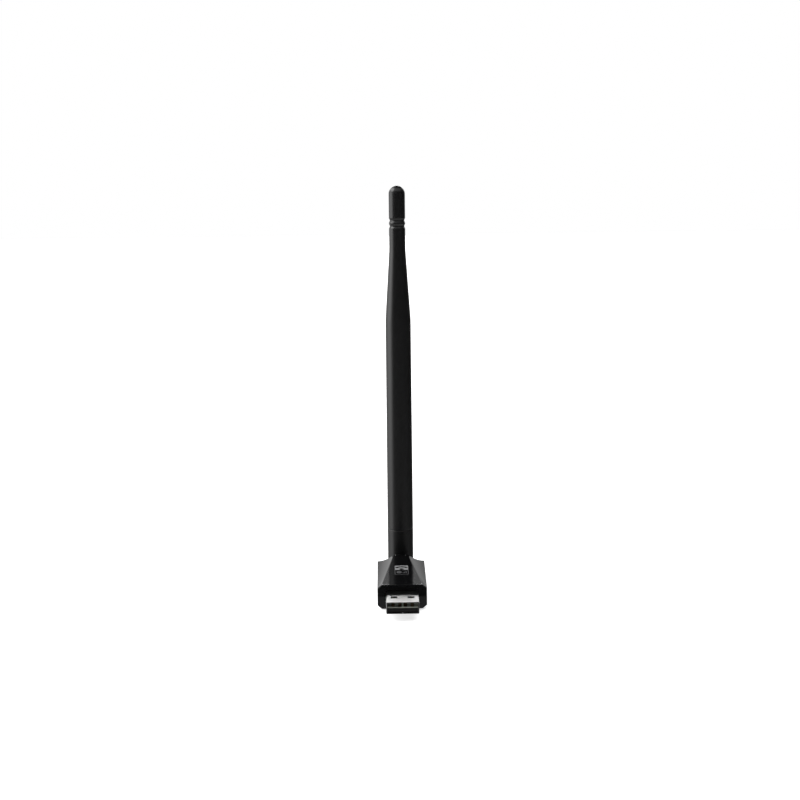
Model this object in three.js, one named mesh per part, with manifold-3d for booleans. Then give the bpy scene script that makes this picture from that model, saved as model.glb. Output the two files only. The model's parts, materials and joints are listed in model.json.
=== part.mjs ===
// A USB wireless network adapter: a faceted two-shell housing with a USB-A plug in front and, behind it,
// a whip antenna on a swivel-and-fold hinge. Millimetres, +Z up, +X right, the plug points along -Y.
// Shapes are drawn about the plug's centre line, with y = 0 on the housing's front face. The whole group is
// then raised, so that the part's origin is the middle of the strip of front face under the plug, which
// seats against the port.
import * as THREE from "three";
import { mergeVertices } from "three/addons/utils/BufferGeometryUtils.js";
import Module from "manifold-3d";

const wasm = await Module();
wasm.setup();

// ---- driving dimensions ----
const HOUSING = { length: 35, frontWidth: 18.4, backWidth: 18.8, above: 4.5, below: 4.9 };
const WALL = { side: 1.2, front: 1.5 };
const TOP_FACE = { frontHalf: 7.6, backHalf: 3.0 }; // the flat top narrows towards the back
const SHOULDER = { frontDrop: 1.4, backDrop: 2.4, steps: 5 }; // how far the side facets fall from the top
const PLUG = { length: 12, tail: 5.6, width: 12, height: 4.5, sheet: 0.3, corner: 0.5, slack: 0.1 };
const SHELL_LEG = { end: 8.4, low: -1.5, high: 0.6 }; // side tabs of the plug shell, soldered to the board
const WINDOW = { x: 3.1, width: 2.5, near: 5.9, far: 7.9 }; // latch windows, measured from the housing
const CONTACT = { width: 1.0, thick: 0.18, lift: 0.02, slotHalf: 0.6, tailEnd: 8.2 };
const CONTACT_XS = [-3.5, -1, 1, 3.5];
const CONTACT_TIPS = [10.6, 9.6, 9.6, 10.6]; // power and ground leaves reach further than the data leaves
const BOARD = { front: 6.2, back: 30, halfWidth: 7, thick: 1.0, neckHalf: 5.5, neckEnd: 8.8, corner: 1.5 };
const LEDGE = { inner: 6.3, over: [0.1, 1.4], under: [-2.4, -1.05] }; // ribs that grip the board's edges
const BADGE = { width: 5.3, length: 10.8, front: 11.45, corner: 1.0, depth: 0.35, gap: 0.05 };
const SHAFT = { radius: 2.2, bore: 0.9, start: 31.4, clearance: 0.08 };
const COLLAR = { radius: 4.0, from: 35.2, to: 36.5 };
const CLIP = { from: 32.3, to: 32.95, inner: 1.78, outer: 2.9, opening: 1.6 };
const CLIP_GROOVE = { from: 32.2, to: 33.1, radius: 1.7 };
const WASHER = { from: 33.4, to: 33.7, inner: 2.3, outer: 3.0 };
const PIVOT_Y = 42; // the fold axis runs along X through this point
const EAR = { halfWidth: 2.0, radius: 3.4, pinHole: 1.34, cableFloor: 2.2, cableHalf: 0.6 };
const BASE = { radius: 5.15, top: 13.7, slotHalf: 2.2, slotTop: 3.75, spigot: 3.9, spigotTop: 20, bore: 0.7 };
const PIN = { radius: 1.25, halfLength: 4.7, fit: 0.03 };
const RADOME = { bottom: 13.85, top: 149.85, wall: 0.85, stout: 5.15, waist: 4.93, neck: 3.16, slim: 3.13 };
const TAPER = { from: 98, to: 125.4 };
const BAND = { z: 135.6, ribHalf: 0.45, grooveHalf: 2.0, slope: 0.3, floor: 2.8 };
const COAX_RADIUS = 0.4;
const ROUND = 32; // sides of a turned piece
const FAR = 20; // half size of a cutting block

// ---- materials ----
const finish = (color, roughness, metalness = 0) =>
  new THREE.MeshStandardMaterial({ color, roughness, metalness });
const glossBlack = finish(0x0b0b0c, 0.2);
const satinBlack = finish(0x17181a, 0.45);
const plated = finish(0xd4d6d8, 0.22, 1);
const gold = finish(0xd9a94a, 0.3, 1);
const brass = finish(0xc8a35a, 0.35, 1);
const springSteel = finish(0x9a9c9f, 0.35, 1);
const insulator = finish(0x17181b, 0.5);
const boardGreen = finish(0x1d5a38, 0.55);
const chipBlack = finish(0x1c1d20, 0.6);
const ceramic = finish(0xb99e78, 0.55);
const coaxGrey = finish(0x3b3d40, 0.5);
const foamWhite = finish(0xe6e4de, 0.9);
const badgeGrey = finish(0xb9bcc0, 0.4);

// ---- solids and booleans ----
function solid(geometry) {
  const bare = geometry.clone();
  bare.deleteAttribute("normal");
  bare.deleteAttribute("uv");
  const merged = mergeVertices(bare, 1e-4);
  return new wasm.Manifold(
    new wasm.Mesh({
      numProp: 3,
      vertProperties: new Float32Array(merged.attributes.position.array),
      triVerts: new Uint32Array(merged.index.array),
    }),
  );
}

function geometryOf(manifold) {
  const mesh = manifold.getMesh();
  return new THREE.BufferGeometry()
    .setAttribute("position", new THREE.BufferAttribute(mesh.vertProperties, 3))
    .setIndex(new THREE.BufferAttribute(mesh.triVerts, 1));
}

function join(first, ...others) {
  return geometryOf(others.reduce((sum, g) => sum.add(solid(g)), solid(first)));
}

function cut(first, ...tools) {
  return geometryOf(tools.reduce((rest, g) => rest.subtract(solid(g)), solid(first)));
}

function common(first, second) {
  return geometryOf(solid(first).intersect(solid(second)));
}

// ---- basic shapes, each already in place ----
function box(x0, x1, y0, y1, z0, z1) {
  const middle = [(x0 + x1) / 2, (y0 + y1) / 2, (z0 + z1) / 2];
  return new THREE.BoxGeometry(x1 - x0, y1 - y0, z1 - z0).translate(...middle);
}

function rodAlongX(radius, x0, x1, sides = ROUND) {
  const rod = new THREE.CylinderGeometry(radius, radius, x1 - x0, sides);
  return rod.rotateZ(Math.PI / 2).translate((x0 + x1) / 2, 0, 0);
}

function rodAlongY(radius, y0, y1, sides = ROUND) {
  return new THREE.CylinderGeometry(radius, radius, y1 - y0, sides).translate(0, (y0 + y1) / 2, 0);
}

function rodAlongZ(radius, z0, z1, sides = ROUND) {
  const rod = new THREE.CylinderGeometry(radius, radius, z1 - z0, sides);
  return rod.rotateX(Math.PI / 2).translate(0, 0, (z0 + z1) / 2);
}

// Turns [radius, height] points about the Z axis.
function turned(points, sides = ROUND) {
  const profile = points.map(([radius, height]) => new THREE.Vector2(radius, height));
  return new THREE.LatheGeometry(profile, sides).rotateX(Math.PI / 2);
}

function roundedRectangle(halfX, halfY, radius) {
  const shape = new THREE.Shape();
  shape.absarc(halfX - radius, halfY - radius, radius, 0, Math.PI / 2);
  shape.absarc(radius - halfX, halfY - radius, radius, Math.PI / 2, Math.PI);
  shape.absarc(radius - halfX, radius - halfY, radius, Math.PI, 1.5 * Math.PI);
  shape.absarc(halfX - radius, radius - halfY, radius, 1.5 * Math.PI, 2 * Math.PI);
  return shape;
}

function extruded(shape, z0, z1, curveSegments = 4) {
  const settings = { depth: z1 - z0, bevelEnabled: false, curveSegments };
  return new THREE.ExtrudeGeometry(shape, settings).translate(0, 0, z0);
}

// Extrudes a shape drawn in (y, z) from x0 to x1.
function extrudedAlongX(shape, x0, x1, curveSegments = 12) {
  const turn = new THREE.Matrix4().makeBasis(
    new THREE.Vector3(0, 1, 0),
    new THREE.Vector3(0, 0, 1),
    new THREE.Vector3(1, 0, 0),
  );
  return extruded(shape, x0, x1, curveSegments).applyMatrix4(turn);
}

// Extrudes a shape drawn in (x, z) from y0 to y1.
function extrudedAlongY(shape, y0, y1, curveSegments = 4) {
  return extruded(shape, -y1, -y0, curveSegments).rotateX(Math.PI / 2);
}

function tubeAlong(curve, radius, steps, sides = 8) {
  const rim = new THREE.Path().absarc(0, 0, radius, 0, 2 * Math.PI).getPoints(sides).slice(0, -1);
  return new THREE.ExtrudeGeometry(new THREE.Shape(rim), { steps, extrudePath: curve, bevelEnabled: false });
}

// ---- housing ----
// The cross-section at a fraction t of the length: flat top and bottom, upright sides, and a shoulder between
// them that is a straight chamfer in front and hollows into a parabola at the back.
function housingSection(t, inset) {
  const half = THREE.MathUtils.lerp(HOUSING.frontWidth, HOUSING.backWidth, t) / 2 - inset;
  const topHalf = THREE.MathUtils.lerp(TOP_FACE.frontHalf, TOP_FACE.backHalf, t) - inset / 2;
  const shoulder = [];
  for (let k = 0; k <= SHOULDER.steps; k++) {
    const s = k / SHOULDER.steps;
    const frontFall = (SHOULDER.frontDrop - inset / 2) * s;
    const backFall = (SHOULDER.backDrop - inset / 2) * (1 - (1 - s) ** 2);
    const fall = THREE.MathUtils.lerp(frontFall, backFall, t);
    shoulder.push({ x: THREE.MathUtils.lerp(topHalf, half, s), fall });
  }
  const lower = shoulder.map(({ x, fall }) => [x, inset + fall - HOUSING.below]);
  const upper = shoulder.map(({ x, fall }) => [x, HOUSING.above - inset - fall]);
  const rightSideUp = [...lower, ...upper.reverse()];
  return [...rightSideUp, ...rightSideUp.map(([x, z]) => [-x, z]).reverse()];
}

// A closed skin between two cross-sections with matching points, both anticlockwise as seen from the front.
function loft(y0, section0, y1, section1) {
  const n = section0.length;
  const positions = [...section0.map(([x, z]) => [x, y0, z]), ...section1.map(([x, z]) => [x, y1, z])].flat();
  const flat = section0.map(([x, z]) => new THREE.Vector2(x, z));
  const capIndex = THREE.ShapeUtils.triangulateShape(flat, []);
  const index = [];
  for (const [a, b, c] of capIndex) index.push(a, b, c, n + a, n + c, n + b);
  for (let i = 0; i < n; i++) {
    const j = (i + 1) % n;
    const risingAcross = section0[i][0] * section0[i][1] + section0[j][0] * section0[j][1] > 0;
    if (risingAcross) index.push(i, n + i, n + j, i, n + j, j);
    else index.push(i, n + i, j, n + i, n + j, j);
  }
  return new THREE.BufferGeometry()
    .setAttribute("position", new THREE.Float32BufferAttribute(positions, 3))
    .setIndex(index);
}

function housingShell() {
  const backWall = HOUSING.length - WALL.side;
  const outside = loft(0, housingSection(0, 0), HOUSING.length, housingSection(1, 0));
  const cavity = loft(WALL.front, housingSection(0, WALL.side), backWall, housingSection(1, WALL.side));
  const doorX = PLUG.width / 2 + PLUG.slack;
  const doorZ = PLUG.height / 2 + PLUG.slack;
  const plugDoor = box(-doorX, doorX, -1, WALL.front + 1, -doorZ, doorZ);
  const halfStep = Math.PI / ROUND; // keeps the hole's corners off the parting plane
  const shaftHole = rodAlongY(SHAFT.radius + SHAFT.clearance, backWall - 1, HOUSING.length + 1);
  return cut(outside, cavity, plugDoor, shaftHole.rotateY(halfStep));
}

// Ledges along both side walls grip the board's long edges.
function boardLedges([z0, z1]) {
  const outer = (HOUSING.frontWidth - WALL.side) / 2;
  const from = BOARD.neckEnd + 1;
  const to = BOARD.back - 1;
  return [box(LEDGE.inner, outer, from, to, z0, z1), box(-outer, -LEDGE.inner, from, to, z0, z1)];
}

function topCover() {
  const half = common(housingShell(), box(-FAR, FAR, -1, HOUSING.length + 1, 0, FAR));
  const recess = extruded(
    roundedRectangle(BADGE.width / 2 + BADGE.gap, BADGE.length / 2 + BADGE.gap, BADGE.corner + BADGE.gap),
    HOUSING.above - BADGE.depth,
    HOUSING.above + 1,
  ).translate(0, BADGE.front + BADGE.length / 2, 0);
  return cut(join(half, ...boardLedges(LEDGE.over)), recess);
}

function bottomCover() {
  const half = common(housingShell(), box(-FAR, FAR, -1, HOUSING.length + 1, -FAR, 0));
  return join(half, ...boardLedges(LEDGE.under));
}

// The inlay on the top face carries three arcs over a dot, a plain signal sign.
function badge() {
  const base = HOUSING.above - BADGE.depth + BADGE.gap;
  const face = HOUSING.above + 0.02;
  const raised = face + 0.08;
  const plate = extruded(roundedRectangle(BADGE.width / 2, BADGE.length / 2, BADGE.corner), base, face);
  const sign = { dotY: -1.7, dotRadius: 0.55, arcRadii: [1.5, 2.6, 3.7], halfStroke: 0.22 };
  const [from, to] = [Math.PI / 4, (3 * Math.PI) / 4];
  const dot = rodAlongZ(sign.dotRadius, base, raised, 16).translate(0, sign.dotY, 0);
  const arcs = sign.arcRadii.map((radius) => {
    const arc = new THREE.Shape();
    arc.absarc(0, 0, radius + sign.halfStroke, from, to);
    arc.absarc(0, 0, radius - sign.halfStroke, to, from, true);
    return extruded(arc, base, raised, 8).translate(0, sign.dotY, 0);
  });
  return join(plate, dot, ...arcs).translate(0, BADGE.front + BADGE.length / 2, 0);
}

// ---- plug ----
function plugShell() {
  const { length, tail, width, height, sheet, corner } = PLUG;
  const outside = extrudedAlongY(roundedRectangle(width / 2, height / 2, corner), -length, tail);
  const hollow = extrudedAlongY(
    roundedRectangle(width / 2 - sheet, height / 2 - sheet, corner - sheet),
    -length - 1,
    tail + 1,
  );
  const windows = [-WINDOW.x, WINDOW.x].map((x) =>
    box(x - WINDOW.width / 2, x + WINDOW.width / 2, -WINDOW.far, -WINDOW.near, -height, height),
  );
  const legs = [-1, 1].map((side) => {
    const [a, b] = [side * (width / 2 - sheet), (side * width) / 2].sort((p, q) => p - q);
    return box(a, b, tail - 0.5, SHELL_LEG.end, SHELL_LEG.low, SHELL_LEG.high);
  });
  return join(cut(outside, hollow, ...windows), ...legs);
}

// The tongue lies in the lower half of the plug and widens into a full-height block inside the housing.
function plugInsulator() {
  const halfX = PLUG.width / 2 - PLUG.sheet - 0.1;
  const halfZ = PLUG.height / 2 - PLUG.sheet - 0.05;
  const tongue = box(-halfX, halfX, -PLUG.length + 0.5, 1, -halfZ, 0);
  const block = box(-halfX, halfX, 0.2, PLUG.tail, -halfZ, halfZ);
  const half = CONTACT.slotHalf;
  const slots = CONTACT_XS.map((x) => box(x - half, x + half, 0, PLUG.tail + 1, 0, 0.3));
  return cut(join(tongue, block), ...slots);
}

// A flat spring leaf that dips at its tip and ends on the board as a soldered tail.
function contact(x, tip) {
  const z = CONTACT.lift;
  const leaf = new THREE.Shape([
    new THREE.Vector2(-tip, z),
    new THREE.Vector2(CONTACT.tailEnd, z),
    new THREE.Vector2(CONTACT.tailEnd, z + CONTACT.thick),
    new THREE.Vector2(0.4 - tip, z + CONTACT.thick),
    new THREE.Vector2(-tip, z + CONTACT.thick / 3),
  ]);
  return extrudedAlongX(leaf, x - CONTACT.width / 2, x + CONTACT.width / 2);
}

// ---- circuit board ----
function circuitBoard() {
  const { front, back, halfWidth, thick, neckHalf, neckEnd, corner } = BOARD;
  const outline = new THREE.Shape([
    new THREE.Vector2(-neckHalf, front),
    new THREE.Vector2(neckHalf, front),
    new THREE.Vector2(neckHalf, neckEnd),
    new THREE.Vector2(halfWidth, neckEnd),
    new THREE.Vector2(halfWidth, back - corner),
    new THREE.Vector2(halfWidth - corner, back),
    new THREE.Vector2(corner - halfWidth, back),
    new THREE.Vector2(-halfWidth, back - corner),
    new THREE.Vector2(-halfWidth, neckEnd),
    new THREE.Vector2(-neckHalf, neckEnd),
  ]);
  return extruded(outline, -thick, 0);
}

// A block that sits on the board, a hair above it.
function boardPart(x, y, sizeX, sizeY, height) {
  const lift = 0.03;
  return box(x - sizeX / 2, x + sizeX / 2, y - sizeY / 2, y + sizeY / 2, lift, lift + height);
}

// From its solder pad the lead drops into line with the swivel shaft's bore.
function coaxLead() {
  const pad = new THREE.Vector3(0, 25.6, COAX_RADIUS + 0.1);
  const arch = new THREE.Vector3(0, BOARD.back - 1, 4 * COAX_RADIUS);
  const mouth = new THREE.Vector3(0, SHAFT.start - 0.2, 0);
  return tubeAlong(new THREE.QuadraticBezierCurve3(pad, arch, mouth), COAX_RADIUS, 10);
}

// ---- swivel knuckle ----
function swivelKnuckle() {
  const { radius, bore, start } = SHAFT;
  const shaft = rodAlongY(radius, start, COLLAR.from + 0.5);
  const groove = cut(
    rodAlongY(radius + 1, CLIP_GROOVE.from, CLIP_GROOVE.to),
    rodAlongY(CLIP_GROOVE.radius, CLIP_GROOVE.from - 1, CLIP_GROOVE.to + 1),
  );
  const collar = rodAlongY(COLLAR.radius, COLLAR.from, COLLAR.to);
  const earRoot = COLLAR.to - 0.5;
  const profile = new THREE.Shape();
  profile.moveTo(earRoot, -EAR.radius);
  profile.lineTo(PIVOT_Y, -EAR.radius);
  profile.absarc(PIVOT_Y, 0, EAR.radius, -Math.PI / 2, Math.PI / 2);
  profile.lineTo(earRoot, EAR.radius);
  const ear = extrudedAlongX(profile, -EAR.halfWidth, EAR.halfWidth, 10);
  const pinHole = rodAlongX(EAR.pinHole, -3, 3, 24).translate(0, PIVOT_Y, 0);
  const cableBore = rodAlongY(bore, start - 1, PIVOT_Y - EAR.cableFloor - 0.2, 16);
  const cableGroove = cut(
    rodAlongX(EAR.radius + 1, -EAR.cableHalf, EAR.cableHalf),
    rodAlongX(EAR.cableFloor, -2, 2),
    box(-2, 2, -FAR, FAR, -FAR, -bore),
    box(-2, 2, -FAR, -EAR.radius - 0.3, -FAR, FAR),
  ).translate(0, PIVOT_Y, 0);
  return cut(join(shaft, collar, ear), groove, pinHole, cableBore, cableGroove);
}

function retainingClip() {
  const { from, to, inner, outer, opening } = CLIP;
  const ring = cut(rodAlongY(outer, from, to), rodAlongY(inner, from - 1, to + 1));
  return cut(ring, box(-opening / 2, opening / 2, from - 1, to + 1, 0, outer + 1));
}

function frictionWasher() {
  const { from, to, inner, outer } = WASHER;
  return cut(rodAlongY(outer, from, to), rodAlongY(inner, from - 1, to + 1));
}

// The cable leaves the bore and lies in the groove round the ear.
function knuckleCoax() {
  const wrap = (EAR.cableFloor + EAR.radius) / 2 - 0.05;
  const straight = new THREE.LineCurve3(
    new THREE.Vector3(0, SHAFT.start + 0.2, 0),
    new THREE.Vector3(0, PIVOT_Y - wrap - 1.4, 0),
  );
  const start = straight.v2;
  const around = (degrees) => {
    const angle = THREE.MathUtils.degToRad(degrees);
    return new THREE.Vector3(0, PIVOT_Y - wrap * Math.cos(angle), wrap * Math.sin(angle));
  };
  const bend = new THREE.CatmullRomCurve3([start, around(14), around(40), around(64)]);
  const path = new THREE.CurvePath();
  path.add(straight);
  path.add(bend);
  return tubeAlong(path, COAX_RADIUS, 24);
}

// ---- antenna, about its fold axis at the group's origin ----
function antennaBase() {
  const { radius, top, slotHalf, slotTop, spigot, spigotTop, bore } = BASE;
  const column = rodAlongZ(radius, -radius, top, 40);
  const roundedFoot = join(rodAlongX(radius, -FAR, FAR, 40), box(-FAR, FAR, -FAR, FAR, 0, top + 1));
  const body = join(common(column, roundedFoot), rodAlongZ(spigot, top - 1, spigotTop));
  const slot = box(-slotHalf, slotHalf, -FAR, FAR, -FAR, slotTop);
  const pinHole = rodAlongX(PIN.radius + PIN.fit, -FAR, FAR, 24);
  return cut(body, slot, pinHole, rodAlongZ(bore, slotTop - 1, spigotTop + 1, 16));
}

function hingePin() {
  return rodAlongX(PIN.radius, -PIN.halfLength, PIN.halfLength, 24);
}

// Outer outline from the open bottom edge to the tip: a stout lower tube, a taper, a slim upper tube with a
// raised band between two grooves, and a domed tip.
function radomeOutline() {
  const { bottom, top, stout, waist, neck, slim } = RADOME;
  const { z, ribHalf, grooveHalf, slope, floor } = BAND;
  const outline = [
    [stout, bottom],
    [waist, TAPER.from],
    [neck, TAPER.to],
    [slim, z - grooveHalf],
    [floor, z - grooveHalf + slope],
    [floor, z - ribHalf - slope],
    [slim, z - ribHalf],
    [slim, z + ribHalf],
    [floor, z + ribHalf + slope],
    [floor, z + grooveHalf - slope],
    [slim, z + grooveHalf],
  ];
  const domeSteps = 6;
  for (let k = 0; k <= domeSteps; k++) {
    const angle = ((Math.PI / 2) * k) / domeSteps;
    const radius = k === domeSteps ? 0 : slim * Math.cos(angle);
    outline.push([radius, top - slim + slim * Math.sin(angle)]);
  }
  return outline;
}

function antennaRadome() {
  const { bottom, top, wall, stout, waist } = RADOME;
  const slimBore = 2.1;
  const inside = [
    [0, top - 2 * wall],
    [1.6, top - 2.5 * wall],
    [slimBore, 145],
    [slimBore, TAPER.to],
    [waist - wall, TAPER.from - wall],
    [stout - wall, bottom],
  ];
  return turned([...inside, ...radomeOutline()]);
}

function antennaCoax() {
  return rodAlongZ(COAX_RADIUS, BASE.slotTop + 0.6, 62, 12);
}

// The lower half of the dipole: a tube open at the bottom, closed round the cable at its top.
function brassSleeve() {
  const [outer, inner, hole] = [2.5, 2.2, 0.55];
  const [low, high, cap] = [34, 60, 0.6];
  return turned(
    [
      [hole, high - cap],
      [inner, high - cap],
      [inner, low],
      [outer, low],
      [outer, high],
      [hole, high],
      [hole, high - cap],
    ],
    24,
  );
}

// One wire: a straight run, a phasing coil and a second straight run.
class RadiatorPath extends THREE.Curve {
  getPoint(t, target = new THREE.Vector3()) {
    const [start, coilStart, coilEnd, end] = [62.4, 90, 101, 141];
    const [coilRadius, turns, settle] = [1.7, 4, 1.2];
    const z = THREE.MathUtils.lerp(start, end, t);
    const rise = THREE.MathUtils.smoothstep(z, coilStart, coilStart + settle);
    const fall = 1 - THREE.MathUtils.smoothstep(z, coilEnd - settle, coilEnd);
    const along = THREE.MathUtils.clamp((z - coilStart) / (coilEnd - coilStart), 0, 1);
    const angle = 2 * Math.PI * turns * along;
    const radius = coilRadius * rise * fall;
    return target.set(radius * Math.cos(angle), radius * Math.sin(angle), z);
  }
}

function radiatorWire() {
  const path = new RadiatorPath();
  path.arcLengthDivisions = 800;
  return tubeAlong(path, 0.45, 110, 6);
}

function foamSpacer() {
  return cut(rodAlongZ(3.0, 105, 110, 24), rodAlongZ(0.6, 104, 111, 12));
}

// ---- assembly ----
function piece(name, geometry, material) {
  const mesh = new THREE.Mesh(geometry, material);
  mesh.name = name;
  return mesh;
}

const housing = new THREE.Group();
housing.add(
  piece("top_cover", topCover(), glossBlack),
  piece("bottom_cover", bottomCover(), glossBlack),
  piece("badge", badge(), badgeGrey),
  piece("plug_shell", plugShell(), plated),
  piece("plug_insulator", plugInsulator(), insulator),
  piece("circuit_board", circuitBoard(), boardGreen),
  piece("wifi_chip", boardPart(-1.6, 14.6, 6.5, 6.5, 0.9), chipBlack),
  piece("crystal", boardPart(4.2, 12.4, 3.2, 2.5, 0.7), plated),
  piece("voltage_regulator", boardPart(4.2, 16.2, 2.9, 1.6, 1.1), chipBlack),
  piece("power_inductor", boardPart(4.2, 19.6, 2.5, 2.0, 1.2), coaxGrey),
  piece("rf_filter", boardPart(-0.6, 21.6, 2.0, 1.25, 0.9), ceramic),
  piece("coax_lead", coaxLead(), coaxGrey),
);
CONTACT_XS.forEach((x, i) => housing.add(piece(`contact_${i + 1}`, contact(x, CONTACT_TIPS[i]), gold)));
[
  [-5.2, 10.4],
  [-3.2, 20.6],
  [-3.2, 22.6],
  [2.2, 22.8],
].forEach(([x, y], i) => housing.add(piece(`capacitor_${i + 1}`, boardPart(x, y, 1.6, 0.8, 0.8), ceramic)));

const knuckle = new THREE.Group();
knuckle.add(
  piece("swivel_knuckle", swivelKnuckle(), satinBlack),
  piece("retaining_clip", retainingClip(), springSteel),
  piece("friction_washer", frictionWasher(), springSteel),
  piece("knuckle_coax", knuckleCoax(), coaxGrey),
);

const antenna = new THREE.Group();
antenna.position.y = PIVOT_Y;
antenna.add(
  piece("antenna_base", antennaBase(), satinBlack),
  piece("hinge_pin", hingePin(), satinBlack),
  piece("antenna_radome", antennaRadome(), satinBlack),
  piece("antenna_coax", antennaCoax(), coaxGrey),
  piece("brass_sleeve", brassSleeve(), brass),
  piece("radiator_wire", radiatorWire(), brass),
  piece("foam_spacer", foamSpacer(), foamWhite),
);
knuckle.add(antenna);

const seatStrip = { low: -HOUSING.below, high: -PLUG.height / 2 - PLUG.slack };
const group = new THREE.Group();
group.position.z = -(seatStrip.low + seatStrip.high) / 2;
group.add(housing, knuckle);

export default group;
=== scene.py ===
"""Looks of a USB wireless adapter: glossy faceted housing, USB-A plug and a swivelling whip antenna.

Meshes are drawn in millimetres about the plug's centre line where it leaves the housing (housing and
knuckle pieces) or about the fold axis (antenna pieces). place() then puts each of them in the frame in
metres.
"""

import json
import math

import bmesh
import bpy
from mathutils import Matrix, Vector


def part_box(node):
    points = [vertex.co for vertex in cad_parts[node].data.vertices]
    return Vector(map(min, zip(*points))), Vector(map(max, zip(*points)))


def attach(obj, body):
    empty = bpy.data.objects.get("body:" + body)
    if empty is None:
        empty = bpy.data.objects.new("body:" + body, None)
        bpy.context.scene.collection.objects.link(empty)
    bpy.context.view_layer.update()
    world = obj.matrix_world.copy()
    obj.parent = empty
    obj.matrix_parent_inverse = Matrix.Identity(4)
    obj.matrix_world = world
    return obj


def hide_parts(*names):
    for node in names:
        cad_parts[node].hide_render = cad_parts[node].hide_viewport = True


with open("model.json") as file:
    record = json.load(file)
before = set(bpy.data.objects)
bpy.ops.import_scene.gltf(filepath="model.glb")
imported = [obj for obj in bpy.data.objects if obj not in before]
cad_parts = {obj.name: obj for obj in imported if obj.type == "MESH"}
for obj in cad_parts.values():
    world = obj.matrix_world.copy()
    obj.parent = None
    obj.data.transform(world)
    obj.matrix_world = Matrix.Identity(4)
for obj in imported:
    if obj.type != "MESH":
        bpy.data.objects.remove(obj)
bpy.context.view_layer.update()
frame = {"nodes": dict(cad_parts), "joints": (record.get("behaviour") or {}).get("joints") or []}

MM = 0.001
JOINTS = {joint["name"]: joint for joint in frame["joints"]}


def box_mm(node):
    low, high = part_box(node)
    return low / MM, high / MM


shell_low, shell_high = box_mm("plug_shell")
cover_low, cover_high = box_mm("top_cover")
AXIS = Vector((0, cover_low.y, (shell_low.z + shell_high.z) / 2)) * MM
PIVOT = Vector(JOINTS["antenna_fold"]["pos_m"])
PIVOT_Y = (PIVOT.y - AXIS.y) / MM

# ---- sizes in millimetres ----
LENGTH = cover_high.y - cover_low.y
HALF_FRONT, HALF_BACK = 9.2, cover_high.x
ABOVE = cover_high.z - AXIS.z / MM
BELOW = AXIS.z / MM - box_mm("bottom_cover")[0].z
TOP_HALF_FRONT, TOP_HALF_BACK = 7.6, 3.0
DROP_FRONT, DROP_BACK = 1.4, 2.4
WALL, FRONT_WALL = 1.2, 1.5
EDGE_SOFT, END_ROUND = 0.3, 0.22
DRAFT = math.tan(math.radians(1.5))
PARTING_GAP = 0.05
PLUG_HALF_X, PLUG_HALF_Z = shell_high.x, (shell_high.z - shell_low.z) / 2
PLUG_TIP = shell_low.y - cover_low.y
SHEET = 0.3
TONGUE_TOP = 0.12
RADOME_TOP = (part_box("antenna_radome")[1].z - PIVOT.z) / MM
RADOME_BOTTOM = (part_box("antenna_radome")[0].z - PIVOT.z) / MM
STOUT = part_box("antenna_base")[1].x / MM
WAIST, NECK, SLIM = 4.93, 3.16, 3.13
WAIST_Z, NECK_Z = 97.0, 125.4
CABLE_RADIUS = 0.4
CONTACT_XS, CONTACT_HALF = (-3.5, -1.0, 1.0, 3.5), 0.5
badge_low, badge_high = box_mm("badge")
BADGE_Y = (badge_low.y + badge_high.y) / 2 - cover_low.y
BADGE_HALF_X = badge_high.x - 0.02
BADGE_HALF_Y = (badge_high.y - badge_low.y) / 2 - 0.02
BADGE_CORNER, BADGE_PLAY, BADGE_SUNK = 0.9, 0.06, 0.02
PRINT_THICK = 0.014


# ---- mesh helpers ----
def lerp(a, b, t):
    return a + (b - a) * t


def spread(start, end, count):
    return [lerp(start, end, i / (count - 1)) for i in range(count)]


def make(name, points, faces):
    mesh = bpy.data.meshes.new(name)
    mesh.from_pydata([tuple(p) for p in points], [], faces)
    work = bmesh.new()
    work.from_mesh(mesh)
    bmesh.ops.remove_doubles(work, verts=work.verts, dist=1e-5)
    bmesh.ops.recalc_face_normals(work, faces=work.faces)
    work.to_mesh(mesh)
    work.free()
    piece = bpy.data.objects.new(name, mesh)
    bpy.context.scene.collection.objects.link(piece)
    return piece


def bake(piece):
    """Turns the modifiers into mesh."""
    depsgraph = bpy.context.evaluated_depsgraph_get()
    mesh = bpy.data.meshes.new_from_object(piece.evaluated_get(depsgraph))
    piece.modifiers.clear()
    old, piece.data = piece.data, mesh
    bpy.data.meshes.remove(old)
    mesh.name = piece.name
    return piece


def combine(piece, tool, operation):
    modifier = piece.modifiers.new("combine", "BOOLEAN")
    modifier.operation = operation
    modifier.solver = "EXACT"
    modifier.object = tool
    bake(piece)
    bpy.data.objects.remove(tool, do_unlink=True)
    return piece


def cut(piece, *tools):
    for tool in tools:
        combine(piece, tool, "DIFFERENCE")
    return piece


def join(piece, *tools):
    for tool in tools:
        combine(piece, tool, "UNION")
    return piece


def soften(piece, width, segments=3, angle=32):
    """Rounds every edge sharper than the angle."""
    modifier = piece.modifiers.new("soften", "BEVEL")
    modifier.width = width
    modifier.segments = segments
    modifier.limit_method = "ANGLE"
    modifier.angle_limit = math.radians(angle)
    modifier.use_clamp_overlap = True
    return bake(piece)


def copy_of(piece, name):
    twin = piece.copy()
    twin.data = piece.data.copy()
    twin.name = name
    bpy.context.scene.collection.objects.link(twin)
    return twin


def turn(piece, angle, axis):
    piece.data.transform(Matrix.Rotation(math.radians(angle), 4, axis))
    return piece


def shift(piece, x=0.0, y=0.0, z=0.0):
    piece.data.transform(Matrix.Translation((x, y, z)))
    return piece


def slab(name, x0, x1, y0, y1, z0, z1):
    corners = [(x, y, z) for z in (z0, z1) for y in (y0, y1) for x in (x0, x1)]
    faces = [(0, 2, 3, 1), (4, 5, 7, 6), (0, 1, 5, 4), (1, 3, 7, 5), (3, 2, 6, 7), (2, 0, 4, 6)]
    return make(name, corners, faces)


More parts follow.
